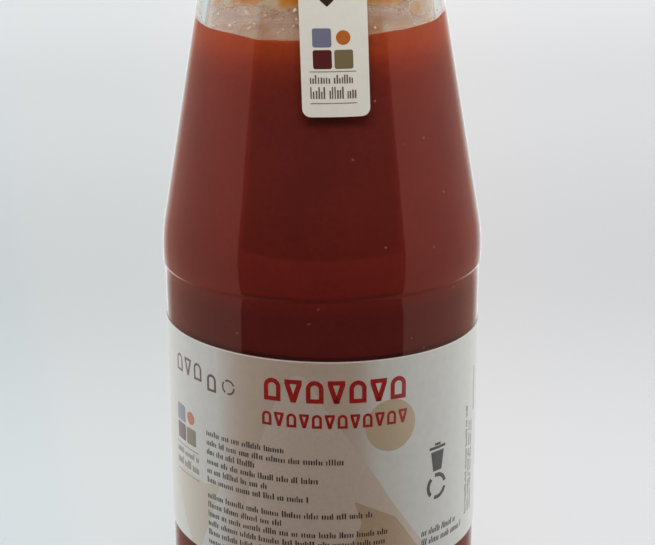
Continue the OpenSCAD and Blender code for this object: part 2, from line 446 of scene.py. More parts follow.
def conePath(body, neck, turnOut, turnIn, steps):  # shoulder turn, straight cone and neck turn
    low = Vector((body - turnOut, shoulderFoot))
    high = Vector((neck + turnIn, neckFoot))
    across = high - low
    lean = atan2(across.y, across.x) - acos((turnOut + turnIn) / across.length)
    lean = degrees(lean)
    return arcPoints(low, turnOut, 0, lean, steps) + arcPoints(high, turnIn, 180 + lean, 180, steps)


outsideCone = conePath(beadRadius, bottle["neckRadius"], bottle["shoulderTurn"], bottle["neckTurn"], 16)
insideCone = conePath(
    insideRadius, boreRadius, bottle["shoulderTurn"] - bottle["wall"],
    bottle["neckTurn"] + bottle["neckWall"], 16,
)


def outsidePath():
    b = bottle
    standRadius = beadRadius - b["heelTurn"]
    path = domePoints(standRadius - b["standWidth"], b["pushUp"], 0, 14)
    path += arcPoints((standRadius, b["heelTurn"]), b["heelTurn"], -90, 0, 14)
    path += easedStep((beadRadius, b["heelTop"] - b["stepHeight"]), (b["panelRadius"], b["heelTop"]), 6)
    path += easedStep((b["panelRadius"], b["panelTop"]), (beadRadius, b["panelTop"] + b["stepHeight"]), 8)
    path += outsideCone
    flat = 0.25  # the ring stands this far out before it turns
    half = b["ringHeight"] / 2
    path.append((b["neckRadius"], b["ringFoot"]))
    for i in range(13):
        a = radians(-90 + 15 * i)
        out = b["neckRadius"] + flat + (b["ringProud"] - flat) * cos(a)
        path.append((out, b["ringFoot"] + half + half * sin(a)))
    path.append((b["neckRadius"], b["ringFoot"] + b["ringHeight"]))
    path += [(b["neckRadius"], glassTop - 8 + 0.4 * i) for i in range(1, 18)]  # close rows for the thread
    path += arcPoints((b["neckRadius"] - b["rimRound"], glassTop - b["rimRound"]), b["rimRound"], 0, 90, 6)
    return path


def insidePath():
    b = bottle
    floorRadius = insideRadius - b["heelTurnInside"]
    path = domePoints(floorRadius, b["pushUp"], b["base"], 10)
    path += arcPoints((floorRadius, b["base"] + b["heelTurnInside"]), b["heelTurnInside"], -90, 0, 12)
    path += insideCone
    path += arcPoints((boreRadius + b["rimRound"], glassTop - b["rimRound"]), b["rimRound"], 180, 90, 6)
    return path


insideWall = insidePath()


def threadRise(angle, height):  # how far a thread piece stands out; each climbs a little, as a screw does
    along = offLobe(angle, bottle["threads"])
    reach = ease((bottle["threadAngle"] / 2 - abs(along)) / 6)
    middle = glassTop - bottle["threadDrop"] + 0.012 * along
    return bottle["threadProud"] * reach * ease(1.6 - abs(height - middle) / 0.75)


def makeGlass():
    path = divided(outsidePath(), 3.2) + divided(insideWall, 3.4)[::-1]
    bm = spun(path, bottle["segments"])
    for vert in bm.verts:
        x, y, z, r, angle = measured(vert)
        if glassTop - 8.2 < z < glassTop - 1.5 and r > bottle["neckRadius"] - 0.1:
            r += threadRise(angle, z)
        elif z < 0.2 and r > 25:  # the stippled ring that a bottle stands on
            z += 0.22 * ease(0.5 + 0.9 * cos(angle * bottle["knurls"]))
        elif 1 < z < glassTop - 16 and r > radiusAt(insideWall, z) + 0.5:  # blown, so never quite true
            r -= 0.03 + 0.03 * roughAt(x, y, z * 0.6, 21)
        vert.co = around(r, angle, z) * mm
    piece = finishPiece(bm, "bottleGlass", [sodaLimeGlass()])
    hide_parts("bottle_glass")


makeGlass()
print("glass bottle made")


passata = {
    "reach": 0.08,  # how far it goes into the wall, so that no air shows between
    "segments": 240,
    "topRings": 46,
    "rise": 1.55,  # above the mean level at the back
    "foreDip": 2.8,  # the thick sauce lies a little lower at the front
    "sideRise": 0.45,  # and a little higher on the right
    "lobes": ((-27, 13, -0.55), (33, 12, 0.35), (66, 14, -0.5)),  # degrees from the front, half width, lift
    "climb": 0.7,  # where it wets the wall
    "settle": 9.0,  # depth over which the level evens out
}


def surfaceLift(x, y):  # how far the uneven surface lies above or below its mean level
    wallRadius = radiusAt(insideWall, fillHeight)
    away = wallRadius - hypot(x, y)
    fore = -(0.97 * y + 0.24 * x) / wallRadius
    dip = passata["foreDip"] * (sqrt(fore * fore + 0.05) + fore) / 2
    waves = 0.3 * roughAt(x, y, 0, 13, 4.2)
    waves += 0.16 * roughAt(x, y, 0, 4.5, 1.7)
    waves += 0.05 * roughAt(x, y, 0, 1.6)
    turn = degrees(atan2(x, -y)) - camera["azimuth"]
    edge = (hypot(x, y) / wallRadius) ** 3
    for where, wide, high in passata["lobes"]:
        waves += high * edge * exp(-(offFront(turn, where) / wide) ** 2)
    wetting = passata["climb"] * exp(-max(away, 0) / 0.9)
    return passata["rise"] - dip + passata["sideRise"] * x / wallRadius + waves + wetting


def makePassata():
    path = [p for p in divided(insideWall, 1.6) if p[1] < fillHeight - 0.3]
    wallRadius = radiusAt(insideWall, fillHeight)
    path.append((wallRadius, fillHeight))
    rings = passata["topRings"]
    path += [(wallRadius * cos(pi / 2 * i / rings), fillHeight) for i in range(1, rings)]
    path.append((0, fillHeight))
    bm = spun(path, passata["segments"])
    for face in bm.faces:
        face.material_index = 1 if face.calc_center_median().z > (fillHeight - 0.01) * mm else 0
    for vert in bm.verts:
        x, y, z, r, angle = measured(vert)
        if z > fillHeight - passata["settle"]:
            share = r / radiusAt(insideWall, z)
            z += surfaceLift(x, y) * ease((z - fillHeight + passata["settle"]) / passata["settle"])
            r = share * radiusAt(insideWall, z) + (passata["reach"] if share > 0.999 else 0)
        elif z > 12:
            r += passata["reach"]
        else:
            z -= passata["reach"]
        vert.co = around(r, angle, z) * mm
    piece = finishPiece(bm, "passataFill", [sievedTomato(), wetSurface()])
    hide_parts("passata")


makePassata()
print("passata made")


clinging = {  # lobes: degrees from the front, height above the level, half width, half height, cover
    "pulp": {
        "front": 4.9, "back": 8.8, "top": 27.0, "least": -0.08, "thick": 1.1, "seed": 3.1, "wide": 6.5,
        "tall": 5.0,
        "lobes": ((-57, 10, 3.4, 5.2, 0.8), (-38, 11, 1.5, 5.5, 0.8), (-18, 11, 4.4, 4.6, 0.8),
                  (24, 12, 4, 4, 0.8), (44, 13, 5, 5, 0.8), (54, 5.0, 4.6, 2.2, 0.16),
                  (66, 6.5, 2.5, 3.0, 0.12), (-68, 7, 1.2, 6, 0.1), (-50, 9.0, 5, 3.8, 0.18)),
    },
    "film": {
        "front": -3.0, "back": -3.0, "top": 34.0, "least": -0.22, "thick": 0.16, "seed": 8.4, "wide": 9.0,
        "tall": 12.0,
        "lobes": ((-70, 5, 5, 8, 0.5), (-45, 8, 6, 3, 0.5), (68, 6, 4, 5, 0.5), (32, 10, 8, 3, 0.5)),
    },
}


def clingingAt(sheet, angle, above):  # above 0 where the wall is covered, and more where it is thick
    x, y = 25 * cos(angle), 25 * sin(angle)
    broad = roughAt(x, y, above * sheet["wide"] / sheet["tall"], sheet["wide"], sheet["seed"])
    runs = roughAt(x, y, above * 0.12, 1.9, sheet["seed"] + 5)
    frayed = roughAt(x, y, above, 1.7, sheet["seed"] + 9)
    start = sheet["back"] + (sheet["front"] - sheet["back"]) * ease(0.5 - 0.5 * sin(angle))
    edge = ease((above - start + 1.5) / 5) * ease((sheet["top"] - above) / 9)
    cover = (broad + 0.32 * runs + 0.2 * frayed + 0.3) * edge - sheet["least"] * edge - 0.4 * (1 - edge)
    turn = degrees(angle) + 90 - camera["azimuth"]
    for where, height, wide, tall, full in sheet["lobes"]:
        along = radians(offFront(turn, where)) * 30 / wide
        lobe = 1 - hypot(along, (above - height) / tall)
        cover = max(cover, full * lobe + 0.12 * full * (frayed + runs))
    return cover


def makeClinging(name, sheet, material, segments, row):
    rows = int((sheet["top"] + 1) / row)
    heights = [fillHeight - 1 + i * row for i in range(rows + 1)]
    bm = spun([(radiusAt(insideWall, z) - 0.02, z) for z in heights], segments)
    depth = bm.verts.layers.float.new("cover")
    for vert in bm.verts:
        x, y, z, r, angle = measured(vert)
        vert[depth] = clingingAt(sheet, angle, z - fillHeight)
        if sheet is clinging["film"]:  # the film stops where the pulp begins
            vert[depth] = min(vert[depth], -clingingAt(clinging["pulp"], angle, z - fillHeight))
    bare = [f for f in bm.faces if max(v[depth] for v in f.verts) <= 0]
    bmesh.ops.delete(bm, geom=bare, context="FACES")
    tips = [v for v in bm.verts if not v.is_manifold]  # two patches that meet only at a corner
    bmesh.ops.delete(bm, geom=list({f for v in tips for f in v.link_faces}), context="FACES")
    for vert in [v for v in bm.verts if v[depth] < 0]:  # the ragged edge drawn in to where the cover ends
        inner = [v for v in (e.other_vert(vert) for e in vert.link_edges) if v[depth] > 0]
        if inner:
            best = max(inner, key=lambda v: v[depth])
            vert.co = vert.co.lerp(best.co, -vert[depth] / (best[depth] - vert[depth]) * 0.98)
    for vert in bm.verts:
        vert[depth] = max(vert[depth], 0)
    bmesh.ops.recalc_face_normals(bm, faces=bm.faces)
    for vert in extruded(bm):
        x, y, z, r, angle = measured(vert)
        swell = 1 + 0.5 * roughAt(x, y, z, 0.9, 2.2)
        share = 1 - (0.04 + sheet["thick"] * ease(vert[depth] / 0.5) * swell) / r
        vert.co.x *= share
        vert.co.y *= share
    bmesh.ops.recalc_face_normals(bm, faces=bm.faces)
    finishPiece(bm, name, [material])


makeClinging("pulpOnWall", clinging["pulp"], pulpOnGlass(), 400, 0.45)
makeClinging("juiceFilm", clinging["film"], thinJuice(), 300, 0.7)


def makeBeads(name, material, count, seed, lie, flat):  # small beads joined in one piece
    rng = random.Random(seed)
    bm = bmesh.new()
    for _ in range(count):
        spot, normal, size = lie(rng)
        made = bmesh.ops.create_icosphere(bm, subdivisions=2, radius=size * mm)["verts"]
        stretch = Matrix.Diagonal((1, rng.uniform(0.75, 1.5), flat, 1))
        turn = normal.to_track_quat("Z", "Y").to_matrix().to_4x4()
        spinOwn = Matrix.Rotation(rng.uniform(0, tau), 4, "Z")
        place = Matrix.Translation(spot * mm) @ turn @ spinOwn @ stretch
        bmesh.ops.transform(bm, matrix=place, verts=made)
    finishPiece(bm, name, [material])


def beadOnWall(rng):
    angle = rng.uniform(0, tau)
    height = fillHeight + 0.5 + 30 * rng.random() ** 1.3
    r = radiusAt(insideWall, height) - 0.05
    outward = Vector((cos(angle), sin(angle), 0.15)).normalized()
    return around(r, angle, height), outward, rng.uniform(0.12, 0.42)


def beadOnSurface(rng):
    angle = rng.uniform(0, tau)
    r = 26 * sqrt(rng.random())
    x, y = r * cos(angle), r * sin(angle)
    return Vector((x, y, fillHeight + surfaceLift(x, y))), Vector((0, 0, 1)), rng.uniform(0.2, 0.6)


def bitUnderGlass(rng):
    angle = rng.uniform(0, tau)
    height = rng.uniform(14, fillHeight - 6)
    r = radiusAt(insideWall, height) + 0.02
    return around(r, angle, height), around(1, angle, 0), rng.uniform(0.12, 0.4)


# the beads on the wall and on the surface take this pale colour as painted glints
beadMaterial = juiceDropsPaintedGlint()
beads = {  # material, how many, seed of the draws, where each lies, how flat
    "juiceBeadsOnWallPaintedGlint": (beadMaterial, 520, 11, beadOnWall, 0.55),
    "bubblesOnSurfacePaintedGlint": (beadMaterial, 90, 23, beadOnSurface, 0.5),
    "seedBits": (seedSkin(), 170, 37, bitUnderGlass, 0.3),
}
for name, how in beads.items():
    makeBeads(name, *how)
print("pulp, film, beads and seed bits made")


cap = {
    "metal": 0.5,
    "edgeRound": 1.6,
    "threadGap": 0.25,
    "threadProud": 1.2,
    "curlRadius": 0.9,
    "curlProud": 0.5,
    "panelDrop": 0.8,
    "panelSlope": 1.0,
    "panelGap": 1.0,
    "buttonRadius": 13.0,
    "buttonDrop": 0.4,
    "lugs": 4,
    "lugAngle": 18.0,
    "lugReach": 1.0,
    "segments": 192,
}


capSkirt = bottle["neckRadius"] + cap["threadProud"] + cap["threadGap"] + cap["metal"]
capEdge = (capSkirt - cap["edgeRound"], capTop - cap["edgeRound"])  # middle of the rounded edge
capCurl = (capSkirt + cap["curlProud"] - cap["curlRadius"], capFoot + cap["curlRadius"])


def makeCap():
    c = cap
    dish = boreRadius - c["panelGap"]
    panel = capTop - c["panelDrop"]
    slope = dish - c["panelSlope"]
    skin = [(c["buttonRadius"] * i / 8, panel - c["buttonDrop"] * (1 - ease(i / 8))) for i in range(9)]
    skin += easedStep((c["buttonRadius"] + 0.5, panel), (c["buttonRadius"] + 1.5, panel - 0.12), 4)
    skin += easedStep((slope - 0.8, panel - 0.12), (slope, panel), 4)
    skin += [
        (dish - c["panelSlope"] * (1 - i / 6), panel + c["panelDrop"] * ease(i / 6)) for i in range(1, 7)
    ]
    skin += arcPoints(capEdge, c["edgeRound"], 90, 0, 8)
    skin += easedStep((capSkirt, capFoot + 3.2), (capSkirt - 0.12, capFoot + 2.6), 3)
    skin += arcPoints(capCurl, c["curlRadius"], 50, -180, 16)
    skin += [(capSkirt - c["metal"], capFoot + 2.2)]
    skin += arcPoints(capEdge, c["edgeRound"] - c["metal"], 0, 90, 8)
    under = panel - c["metal"]
    skin += [(dish, capTop - c["metal"]), (slope, under), (0, under - 0.38)]
    bm = spun(divided(skin, 1.6), c["segments"])
    for vert in bm.verts:
        x, y, z, r, angle = measured(vert)
        lug = ease((c["lugAngle"] / 2 - abs(offLobe(angle, c["lugs"]))) / 4)
        if z < capFoot + 1.9 and r > 20:
            if r < capCurl[0]:
                r -= c["lugReach"] * lug
                z += 0.5 * lug
            else:
                r -= 0.18 * lug  # the curl is nipped in where a lug is formed
        vert.co = around(r, angle, z) * mm
    piece = finishPiece(bm, "twistOffCap", [goldLacquer()])
    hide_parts("twist_cap")


makeCap()
print("cap made")


def cutOut(bm, corners, rounding=0.0, segments=4):  # a flat outline in millimetres, with rounded corners
    verts = [bm.verts.new((u, v, 0)) for u, v in corners]
    face = bm.faces.new(verts)
    if face.normal.z < 0 or sum(
        (b[0] - a[0]) * (b[1] + a[1]) for a, b in zip(corners, corners[1:] + corners[:1])
    ) > 0:
        face.normal_flip()
    if rounding:
        bmesh.ops.bevel(
            bm, geom=verts, offset=rounding, segments=segments, profile=0.5, affect="VERTICES",
            material=-1, clamp_overlap=True,
        )


def cutAcross(bm, axis, low, high, step):  # cuts across, so that the sheet can bend
    place = low + step
    while place < high:
        point = (place, 0, 0) if axis == 0 else (0, place, 0)
        normal = (1, 0, 0) if axis == 0 else (0, 1, 0)
        whole = bm.verts[:] + bm.edges[:] + bm.faces[:]
        bmesh.ops.bisect_plane(bm, geom=whole, dist=1e-5, plane_co=point, plane_no=normal)
        place += step


def layOn(bm, wrap, lift, thick):  # bends the flat work onto the bottle; its thickness goes inwards
    for vert in extruded(bm):
        vert.co.z += 1  # marks the outer side
    for vert in bm.verts:
        vert.co = wrap(vert.co.x, vert.co.y, lift if vert.co.z > 0.5 else lift - thick) * mm
    bmesh.ops.recalc_face_normals(bm, faces=bm.faces)


def box(u, v, width, height):  # corners of a box about its middle
    return [(u - width / 2, v - height / 2), (u + width / 2, v - height / 2),
            (u + width / 2, v + height / 2), (u - width / 2, v + height / 2)]


def lozenge(u, v, width, height):
    return [(u - width / 2, v), (u, v - height / 2), (u + width / 2, v), (u, v + height / 2)]


def disc(u, v, radius, steps=28):
    turns = [tau * i / steps for i in range(steps)]
    return [(u + radius * cos(a), v + radius * sin(a)) for a in turns]


def ringPart(u, v, radius, width, start, end, steps=8):  # a thick arc
    outer = arcPoints((u, v), radius + width / 2, start, end, steps)
    return outer + arcPoints((u, v), radius - width / 2, end, start, steps)


label = {
    "thick": 0.15,
    "height": 53.6,
    "tilt": 1.2,  # pasted on a little crooked
    "gap": 13.0,
    "corner": 2.5,
    "inkLift": 0.034,  # the marks lie over the tinted fields
    "skin": 0.004,  # the ink's lower side lies this far above the paper
}
labelRadius = bottle["panelRadius"]
labelMiddle = (labelBox[0][2] + labelBox[1][2]) / 2
halfRound = pi * labelRadius - label["gap"] / 2


def onLabel(u, v, lift):  # u round the bottle from the front, v up from the label's middle
    angle = u / labelRadius
    r = labelRadius + lift
    x, y = r * sin(angle), -r * cos(angle)
    lean = radians(label["tilt"])
    level = labelRadius * sin(angle) * sin(lean)
    return Vector((x, y, labelMiddle + (v - level) / cos(lean)))


def makeLabel():
    bm = bmesh.new()
    cutOut(bm, box(0, 0, 2 * halfRound, label["height"]), label["corner"], 5)
    cutAcross(bm, 0, -halfRound, halfRound, 1.0)
    cutAcross(bm, 1, -label["height"] / 2, label["height"] / 2, 6.0)
    layOn(bm, onLabel, label["thick"], label["thick"])
    # the last colour is the painted shade over the middle of the front
    paper = coatedPaper("coatedLabelPaper", "#e1e5e0", "#dadeda", 0.5, 0.05, "#ead5c8")
    piece = finishPiece(bm, "wrapLabel", [paper], smooth=False)
    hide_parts("wrap_label")


makeLabel()


def tickRow(u, v, length, height, rng, word=(3, 9)):  # stands for a row of print: plain strokes in groups
    marks = []
    place = 0.0
    while place < length:
        for _ in range(rng.randint(*word)):
            if place > length:
                break
            tall = height * rng.choice((0.62, 0.68, 0.72, 1.0))
            wide = rng.uniform(0.26, 0.36)
            marks.append(box(u + place + wide / 2, v + tall / 2, wide, tall))
            place += wide + rng.uniform(0.2, 0.34)
        place += 0.62
    return marks


printRows = {
    "left": -33.2,
    "pitch": 2.4,
    "height": 1.5,
    "blocks": ((3.9, (21.5, 35.5, 14.0, 30.0, 17.5, 27.0)), (-12.2, (42.0, 20.5, 46.0, 46.0, 41.0, 33.0))),
    "leaning": ((-20.2, 12.4, 20.4), (-22.7, 15.4, 22.8)),  # height, length, and the height it leans about
    "lean": 0.18,
    "columns": ((41.6, 28.5), (43.4, 24.0), (45.1, 24.0)),
}


def smallPrint():
    rng = random.Random(5)
    rows = []
    for top, lengths in printRows["blocks"]:
        for i, length in enumerate(lengths):
            v = top - i * printRows["pitch"]
            rows += tickRow(printRows["left"], v, length, printRows["height"], rng)
    for foot, length, about in printRows["leaning"]:
        for mark in tickRow(22.4, foot, length, 1.7, rng):
            rows.append([(u + printRows["lean"] * (v + about), v) for u, v in mark])
    for column, length in printRows["columns"]:
        rows += [[(column - v, u) for u, v in mark] for mark in tickRow(-20.5, 0, length, 1.1, rng)]
    rows.append(box(46.6, 10.8, 0.3, 11.6))
    return rows


def arch(u, v, width, height, stroke):  # a rounded arch standing on a sill
    left, right, foot = u - width / 2, u + width / 2, v - height / 2
    top = v + height / 2 - width / 2
    return [
        [(left, foot + stroke), (left + stroke, foot + stroke), (left + stroke, top), (left, top)],
        [(right - stroke, foot + stroke), (right, foot + stroke), (right, top), (right - stroke, top)],
        [(left, foot), (right, foot), (right, foot + stroke), (left, foot + stroke)],
        ringPart(u, top, width / 2 - stroke / 2, stroke, 0, 180, 10),
    ]


def wedge(u, v, width, height, stroke):  # a triangle on its point, drawn in strokes
    left, right, foot, top = u - width / 2, u + width / 2, v - height / 2, v + height / 2
    wide = stroke * 1.15
    point = [(u - wide / 2, foot), (u + wide / 2, foot)]
    return [
        [(left, top - stroke)] + point + [(left + wide, top - stroke)],
        [(right - wide, top - stroke)] + point + [(right, top - stroke)],
        [(left, top - stroke), (right, top - stroke), (right, top), (left, top)],
    ]


def markRow(u, v, count, pitch, width, height, stroke):  # arches and wedges in turn, as a plain ornament
    marks = []
    for i in range(count):
        marks += (wedge if i % 2 else arch)(u + pitch * i, v, width, height, stroke)
    return marks


labelFields = {  # ink, its tone and its worn tone, lift, rounding, and corners in millimetres on the label
    "labelPaleHill": ("paleTanInk", "#d6cbbe", "#d2c6b8", 0.012, 1.5,
                      [(-25, -26.6), (-18.5, 3), (-14, 15.5), (-11, 22), (-8.6, 23.8), (-6, 22.5),
                       (-2.5, 16), (6, 4), (15, -10.5), (21.5, -19.5), (26.5, -26.6)]),
    "labelTanHill": ("tanInk", "#bfa98c", "#c2ae93", 0.02, 0.6,
                     [(1.5, -26.6), (6.5, -13.5), (4.6, -7.8), (9.5, -10.2), (14.8, -12.9),
                      (17.4, -16.4), (20.5, -21), (25.6, -26.6)]),
    "labelSandField": ("sandInk", "#cfcabb", "#cdc8b8", 0.014, 0.6,
                       [(-49.5, -10.5), (-44, -8), (-33.4, -9), (-29, -7), (-32, -16.5),
                        (-36.6, -26.6), (-40.5, -26.6)]),
    "labelSandDisc": ("sandDiscInk", "#c9b99c", "#c7b79b", 0.026, 0.0, disc(13.7, 10.4, 6.4, 48)),
}


def cutPrint(outlines, rounding, axis):  # the marks of one ink, cut across along an axis
    bm = bmesh.new()
    for corners in outlines:
        cutOut(bm, corners, rounding)
    reach = [v.co[axis] for v in bm.verts]
    if axis == 1:
        cutAcross(bm, 0, -8, 8, 1.0)
    cutAcross(bm, axis, min(reach) // 1, max(reach), 1.0)
    return bm


def printOnLabel(name, outlines, material, lift=label["inkLift"], rounding=0.0):
    bm = cutPrint(outlines, rounding, 0)
    bmesh.ops.remove_doubles(bm, verts=bm.verts, dist=0.003)  # a cut on a corner leaves two points
    layOn(bm, onLabel, label["thick"] + lift, lift - label["skin"])  # a skin of ink, closed all round
    finishPiece(bm, name, [material], smooth=False)


def printLabel():
    # a pale band on the face along the top edge: the paper's cut edge, made brighter than the paper as a
    # painted highlight where light catches it
    edgeHighlight = [box(0, label["height"] / 2 - 0.16, 2 * (halfRound - label["corner"]), 0.26)]
    printOnLabel("labelEdgePaintedHighlight", edgeHighlight, coatedPaper("paperEdgePaintedHighlight", "#fbf3ee", "#f5ebe5", 0.6, 0.0), 0.012)
    for name, (ink, tone, worn, lift, rounding, corners) in labelFields.items():
        printOnLabel(name, [corners], printedInk(ink, tone, worn, 0.42, 0.3), lift, rounding)
    title = markRow(-14.3, 19.5, 7, 4.95, 4.0, 5.5, 1.05)
    title += markRow(-15.7, 12.3, 12, 2.94, 2.3, 3.4, 0.62)
    printOnLabel("labelTitleMarks", title, printedInk("redInk", "#a81a1c", "#b3302c"))
    weight = markRow(-44.4, 19.0, 3, 4.2, 2.9, 4.3, 0.55) + arch(-31.0, 17.6, 2.9, 4.3, 0.6)
    weight += [ringPart(-25.8, 17.8, 1.65, 0.42, 20 + 120 * i, 120 + 120 * i) for i in range(3)]
    printOnLabel("labelQuantityMarks", weight, printedInk("russetInk", "#5c2a24", "#6b3a33"))
    printOnLabel("labelSmallPrint", smallPrint(), printedInk("darkBrownInk", "#2c2320", "#453a35"))
    wasteBin = [[(25.3, 0.8), (26.1, -4.2), (29.0, -4.2), (29.8, 0.8)]]
    wasteBin += [box(27.55, 1.75, 5.6, 0.7), box(27.55, 2.6, 2.0, 0.6)]
    wasteBin += [ringPart(27.4, -8.2, 2.9, 0.95, 12 + 120 * i, 104 + 120 * i) for i in range(3)]
    blackInk = printedInk("blackInk", "#1f1d1d", "#2b2827")
    printOnLabel("labelDisposalMarks", wasteBin, blackInk, rounding=0.12)


motifInks = {"maroon": "#5a2428", "slate": "#777b93", "olive": "#7b7050", "amber": "#c06a2c"}


def motif(u, v, size):  # a plain square ornament of three tiles and a disc
    half = size / 4
    tile = size * 0.44
    return {
        "slate": [box(u - half, v + half, tile, tile)],
        "amber": [disc(u + half, v + half, size * 0.17)],
        "maroon": [box(u - half, v - half, tile, tile)],
        "olive": [box(u + half, v - half, tile, tile)],
    }


inks = {name: printedInk(name + "Ink", colour, colour) for name, colour in motifInks.items()}
printLabel()
tileRounding = {"slate": 0.5, "amber": 0, "maroon": 0.5, "olive": 0.5}
for name, shapes in motif(-42.0, 3.6, 9.6).items():
    printOnLabel("labelMotif" + name.capitalize(), shapes, inks[name], rounding=tileRounding[name])
motifRows = random.Random(8)
rows = tickRow(-47.2, -4.6, 10.4, 1.6, motifRows, (7, 8))
rows += tickRow(-47.2, -7.6, 10.4, 2.1, motifRows, (6, 6))
rows += [box(-42, -9.3, 11, 0.2), box(-42, -2.2, 11, 0.2)]
printOnLabel("labelMotifRows", rows, printedInk("khakiInk", "#857a63", "#8d8470"))
print("label made and printed")


strip = {
    "thick": 0.15,
    "width": 15.0,
    "backLength": 60.0,
    "corner": 1.8,
    "tilt": 1.0,
    "meet": 27.0,  # below the cap's foot, where it comes to lie on the glass
}


def stripLie():  # the way down from the middle of the cap, on its top, its edge and the cone
    meet = capFoot - strip["meet"]
    lie = [(0, capTop)] + arcPoints(capEdge, cap["edgeRound"], 90, 0, 8)
    lie += [(capSkirt, capFoot + 3 * cap["curlRadius"])] + arcPoints(capCurl, cap["curlRadius"], 45, 0, 4)
    lie += [(radiusAt(outsideCone, meet), meet), (radiusAt(outsideCone, meet - 40), meet - 40)]
    return divided(lie, 0.8)


lieDown = stripLie()


def lengthTo(height):  # length of the lie from the middle of the cap down to a height
    total = 0
    for a, b in zip(lieDown, lieDown[1:]):
        if b[1] < height:
            return total + dist(a, b) * (a[1] - height) / (a[1] - b[1])
        total += dist(a, b)
    return total


frontLeg = lengthTo(stripFoot + 0.3)
backLeg = lengthTo(capTop - strip["backLength"])


def onStrip(u, v, lift):  # u across, v up from the strip's front end, over the cap and down the back
    down = frontLeg - v
    side = -1 if down >= 0 else 1
    left = abs(down)
    for a, b in zip(lieDown, lieDown[1:]):
        step = dist(a, b)
        if left <= step:
            break
        left -= step
    t = min(left / step, 1)
    r, z = a[0] + (b[0] - a[0]) * t, a[1] + (b[1] - a[1]) * t
    along = Vector((b[0] - a[0], b[1] - a[1])).normalized()
    x = u + (capTop - z) * sin(radians(strip["tilt"]))
    bow = min(r / 25, 1) ** 6  # flat over the cap, round where it goes down
    y = sqrt(max(r * r - bow * x * x, 0))
    out = Vector((bow * x / max(r, 1), y / max(r, 1), 0)) * -along.y
    out.z = along.x
    return Vector((x + out.x * lift, side * (y + out.y * lift), z + out.z * lift))


def makeStrip():
    bm = bmesh.new()
    length = frontLeg + backLeg
    cutOut(bm, box(0, length / 2, strip["width"], length), strip["corner"], 5)
    cutAcross(bm, 0, -strip["width"] / 2, strip["width"] / 2, 1.25)
    cutAcross(bm, 1, 0, length, 0.8)
    layOn(bm, onStrip, strip["thick"] - 0.01, strip["thick"] - 0.02)
    paper = coatedPaper("sealStripPaper", "#f0f0e8", "#ebebe1", 0.55, 0.12)
    piece = finishPiece(bm, "sealStrip", [paper], smooth=False)
    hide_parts("seal_strip")


makeStrip()


def printOnStrip(name, outlines, material, rounding=0.0):
    bm = cutPrint(outlines, rounding, 1)
    layOn(bm, onStrip, strip["thick"] + 0.015, 0.018)
    finishPiece(bm, name, [material], smooth=False)


for name, shapes in motif(-0.4, 14.9, 9.4).items():
    printOnStrip("stripMotif" + name.capitalize(), shapes, inks[name], tileRounding[name])
stripRows = random.Random(14)
rows = tickRow(-5.6, 7.3, 10.0, 1.9, stripRows, (8, 8))
rows += tickRow(-5.6, 4.0, 10.0, 2.6, stripRows, (6, 6))
printOnStrip("stripRows", rows, printedInk("umberInk", "#5b4a3e", "#6b5c50"))
lines = [box(-0.5, v, 10.2, 0.22) for v in (9.9, 3.0)]
printOnStrip("stripLines", lines, printedInk("stripKhakiInk", "#968a6c", "#9c9176"))
lozenges = [lozenge(-1.4, 25.4 + 3.6 * i, 3.2, 3.0) for i in range(7)]
printOnStrip("stripUprightMarks", lozenges, printedInk("stripDarkInk", "#33221f", "#3f2e2a"), 0.2)
print("seal strip made and printed")


floorLook = {
    "half": 30.0,
    "eyeBack": 0.38,  # the painted shade tints below spread from this far in front of the bottle
    "span": (-0.2, 1.8),  # metres behind the bottle that the depth tones run over
    "depth": ((-0.2, 0.86), (0.1, 0.795), (0.37, 0.7), (0.8, 0.77), (1.4, 0.85)),  # metres behind, how pale: painted shade and light, darkest about 0.37 m behind
    "spread": (-0.25, 0.25),
    # painted shade across the floor: darker and bluer to the left, palest a little right of the middle
    "across": [(0.0, (0.8, 0.9, 0.935, 1)), (0.12, (0.85, 0.93, 0.955, 1)), (0.25, (0.905, 0.945, 0.965, 1)),
               (0.7, (0.985, 0.985, 1, 1)), (1.0, (0.95, 0.965, 0.985, 1))],
    "near": (0.94, 0.955, 0.975, 1),
    "nearSpan": (-0.25, 0.05),  # metres behind over which the painted near tint gives way
}


def between(ends):  # settings for a range that runs from 0 to 1 between two values
    return {"From Min": ends[0], "From Max": ends[1]}


